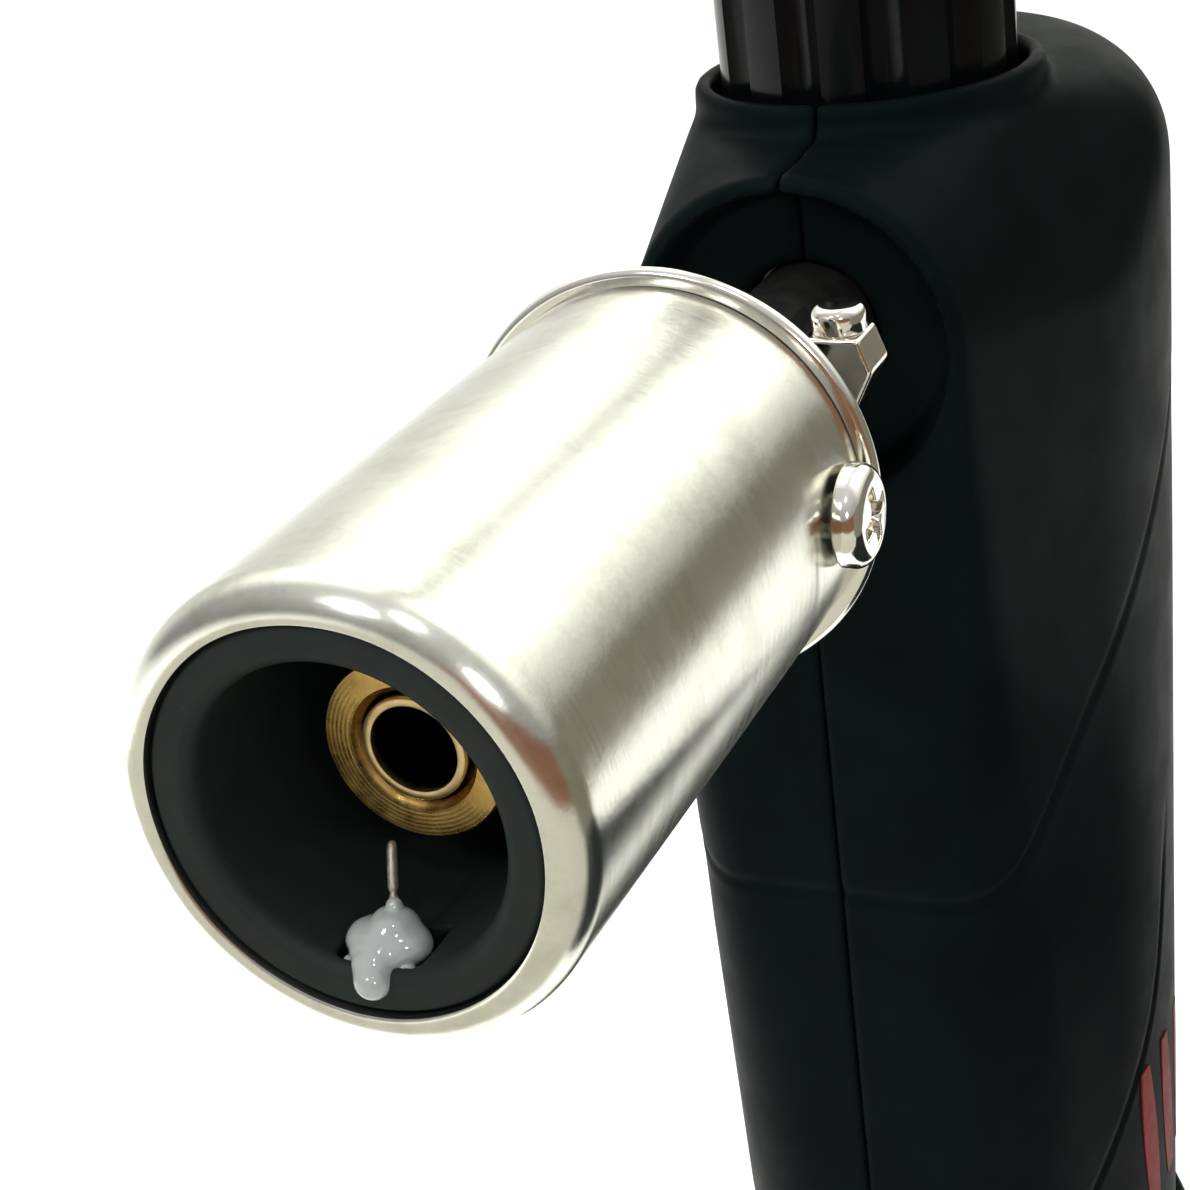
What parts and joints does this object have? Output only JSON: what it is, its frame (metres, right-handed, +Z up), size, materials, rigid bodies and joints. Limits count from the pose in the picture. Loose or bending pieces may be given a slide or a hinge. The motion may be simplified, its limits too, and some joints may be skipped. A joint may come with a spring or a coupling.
{
  "type": "hand gas torch with shrouded burner nozzle",
  "caption": "Hand-held gas torch: a brushed steel burner nozzle with a dark liner and brass burner on an upright black grip, with a fluted flow knob, thumb trigger and weighted foot.",
  "frame": {"origin": "on the surface the torch stands on, under the middle of the grip", "axes": "+Z up, -Y towards the nozzle's mouth, +X to the side that the air lever stands on"},
  "size_m": [0.05, 0.1201, 0.144],
  "materials": {
    "barrel_steel": "fine brushed stainless steel with warm reflections",
    "liner_ceramic": "dark grey matt heat-proof moulding",
    "brass": "turned brass, slightly tarnished",
    "screw_steel": "nickel-plated steel",
    "zinc_cast": "die-cast light alloy, matt",
    "wire_steel": "grey-beige heat-resistant wire",
    "insulator_ceramic": "dark grey ceramic",
    "black_metal": "blackened metal",
    "sealant_silicone": "glossy translucent light-grey silicone",
    "lead_insulation": "red silicone insulation",
    "housing_plastic": "matt black moulded plastic with fine texture",
    "knob_plastic": "glossy black moulded plastic",
    "trigger_plastic": "satin black plastic",
    "tank_plastic": "grey nylon",
    "seal_rubber": "black nitrile rubber",
    "spring_steel": "spring steel wire",
    "washer_plastic": "natural nylon",
    "piezo_plastic": "dark plastic case",
    "plunger_plastic": "cream acetal",
    "filter_bronze": "sintered bronze",
    "sole_rubber": "matt black rubber"
  },
  "bodies": {
    "torch": {"barrel_shroud": "barrel_steel", "rear_ring": "barrel_steel", "shroud_liner": "liner_ceramic", "burner_head": "brass", "inner_tube": "brass", "burner_hub": "zinc_cast", "shroud_screws": "screw_steel", "mixing_tube": "brass", "gas_jet": "brass", "jet_filter": "filter_bronze", "jet_holder": "black_metal", "electrode_wire": "wire_steel", "electrode_insulator": "insulator_ceramic", "electrode_sealant": "sealant_silicone", "ignition_lead": "lead_insulation", "housing_left": "housing_plastic", "housing_right": "housing_plastic", "housing_screws": "screw_steel", "valve_block": "zinc_cast", "gland_nut": "brass", "gland_o_ring": "seal_rubber", "friction_washer": "washer_plastic", "gas_pipe": "brass", "pipe_nuts": "brass", "fuel_tank": "tank_plastic", "tank_lid": "tank_plastic", "fill_valve_body": "brass", "fill_valve_seal": "seal_rubber", "fill_valve_spring": "spring_steel", "piezo_case": "piezo_plastic", "piezo_terminal": "brass", "trigger_spring": "spring_steel", "base_foot": "housing_plastic", "foot_sole": "sole_rubber"},
    "knob": {"flow_knob": "knob_plastic", "knob_cap": "knob_plastic", "knob_screw": "screw_steel", "knob_shaft": "screw_steel"},
    "needle": {"valve_needle": "brass"},
    "collar": {"air_collar": "screw_steel", "air_lever_stud": "screw_steel"},
    "trigger_unit": {"trigger": "trigger_plastic", "piezo_plunger": "plunger_plastic"},
    "filler_stem": {"fill_valve_stem": "screw_steel"}
  },
  "joints": [
    {"name": "knob_turn", "type": "hinge", "parent": "torch", "child": "knob", "pos_m": [0, -0.004, 0.126], "axis": [0, 0, 1], "range_deg": [0, 270]},
    {"name": "needle_lift", "type": "slide", "parent": "torch", "child": "needle", "axis": [0, 0, 1], "range_m": [0, 0.0008]},
    {"name": "air_collar_turn", "type": "hinge", "parent": "torch", "child": "collar", "pos_m": [0, -0.0402, 0.112], "axis": [0, -1, 0], "range_deg": [-10, 45]},
    {"name": "trigger_press", "type": "slide", "parent": "torch", "child": "trigger_unit", "axis": [0, -1, 0], "range_m": [0, 0.005], "stiffness_N_per_m": 900, "springref_m": -0.002, "deforming": ["trigger_spring"]},
    {"name": "filler_press", "type": "slide", "parent": "torch", "child": "filler_stem", "axis": [0, 0, 1], "range_m": [0, 0.0015], "stiffness_N_per_m": 1200, "springref_m": -0.001, "deforming": ["fill_valve_spring"]}
  ],
  "couplings": [
    {"joint": "needle_lift", "follows": "knob_turn", "m_per_rad": 0.0001696}
  ]
}
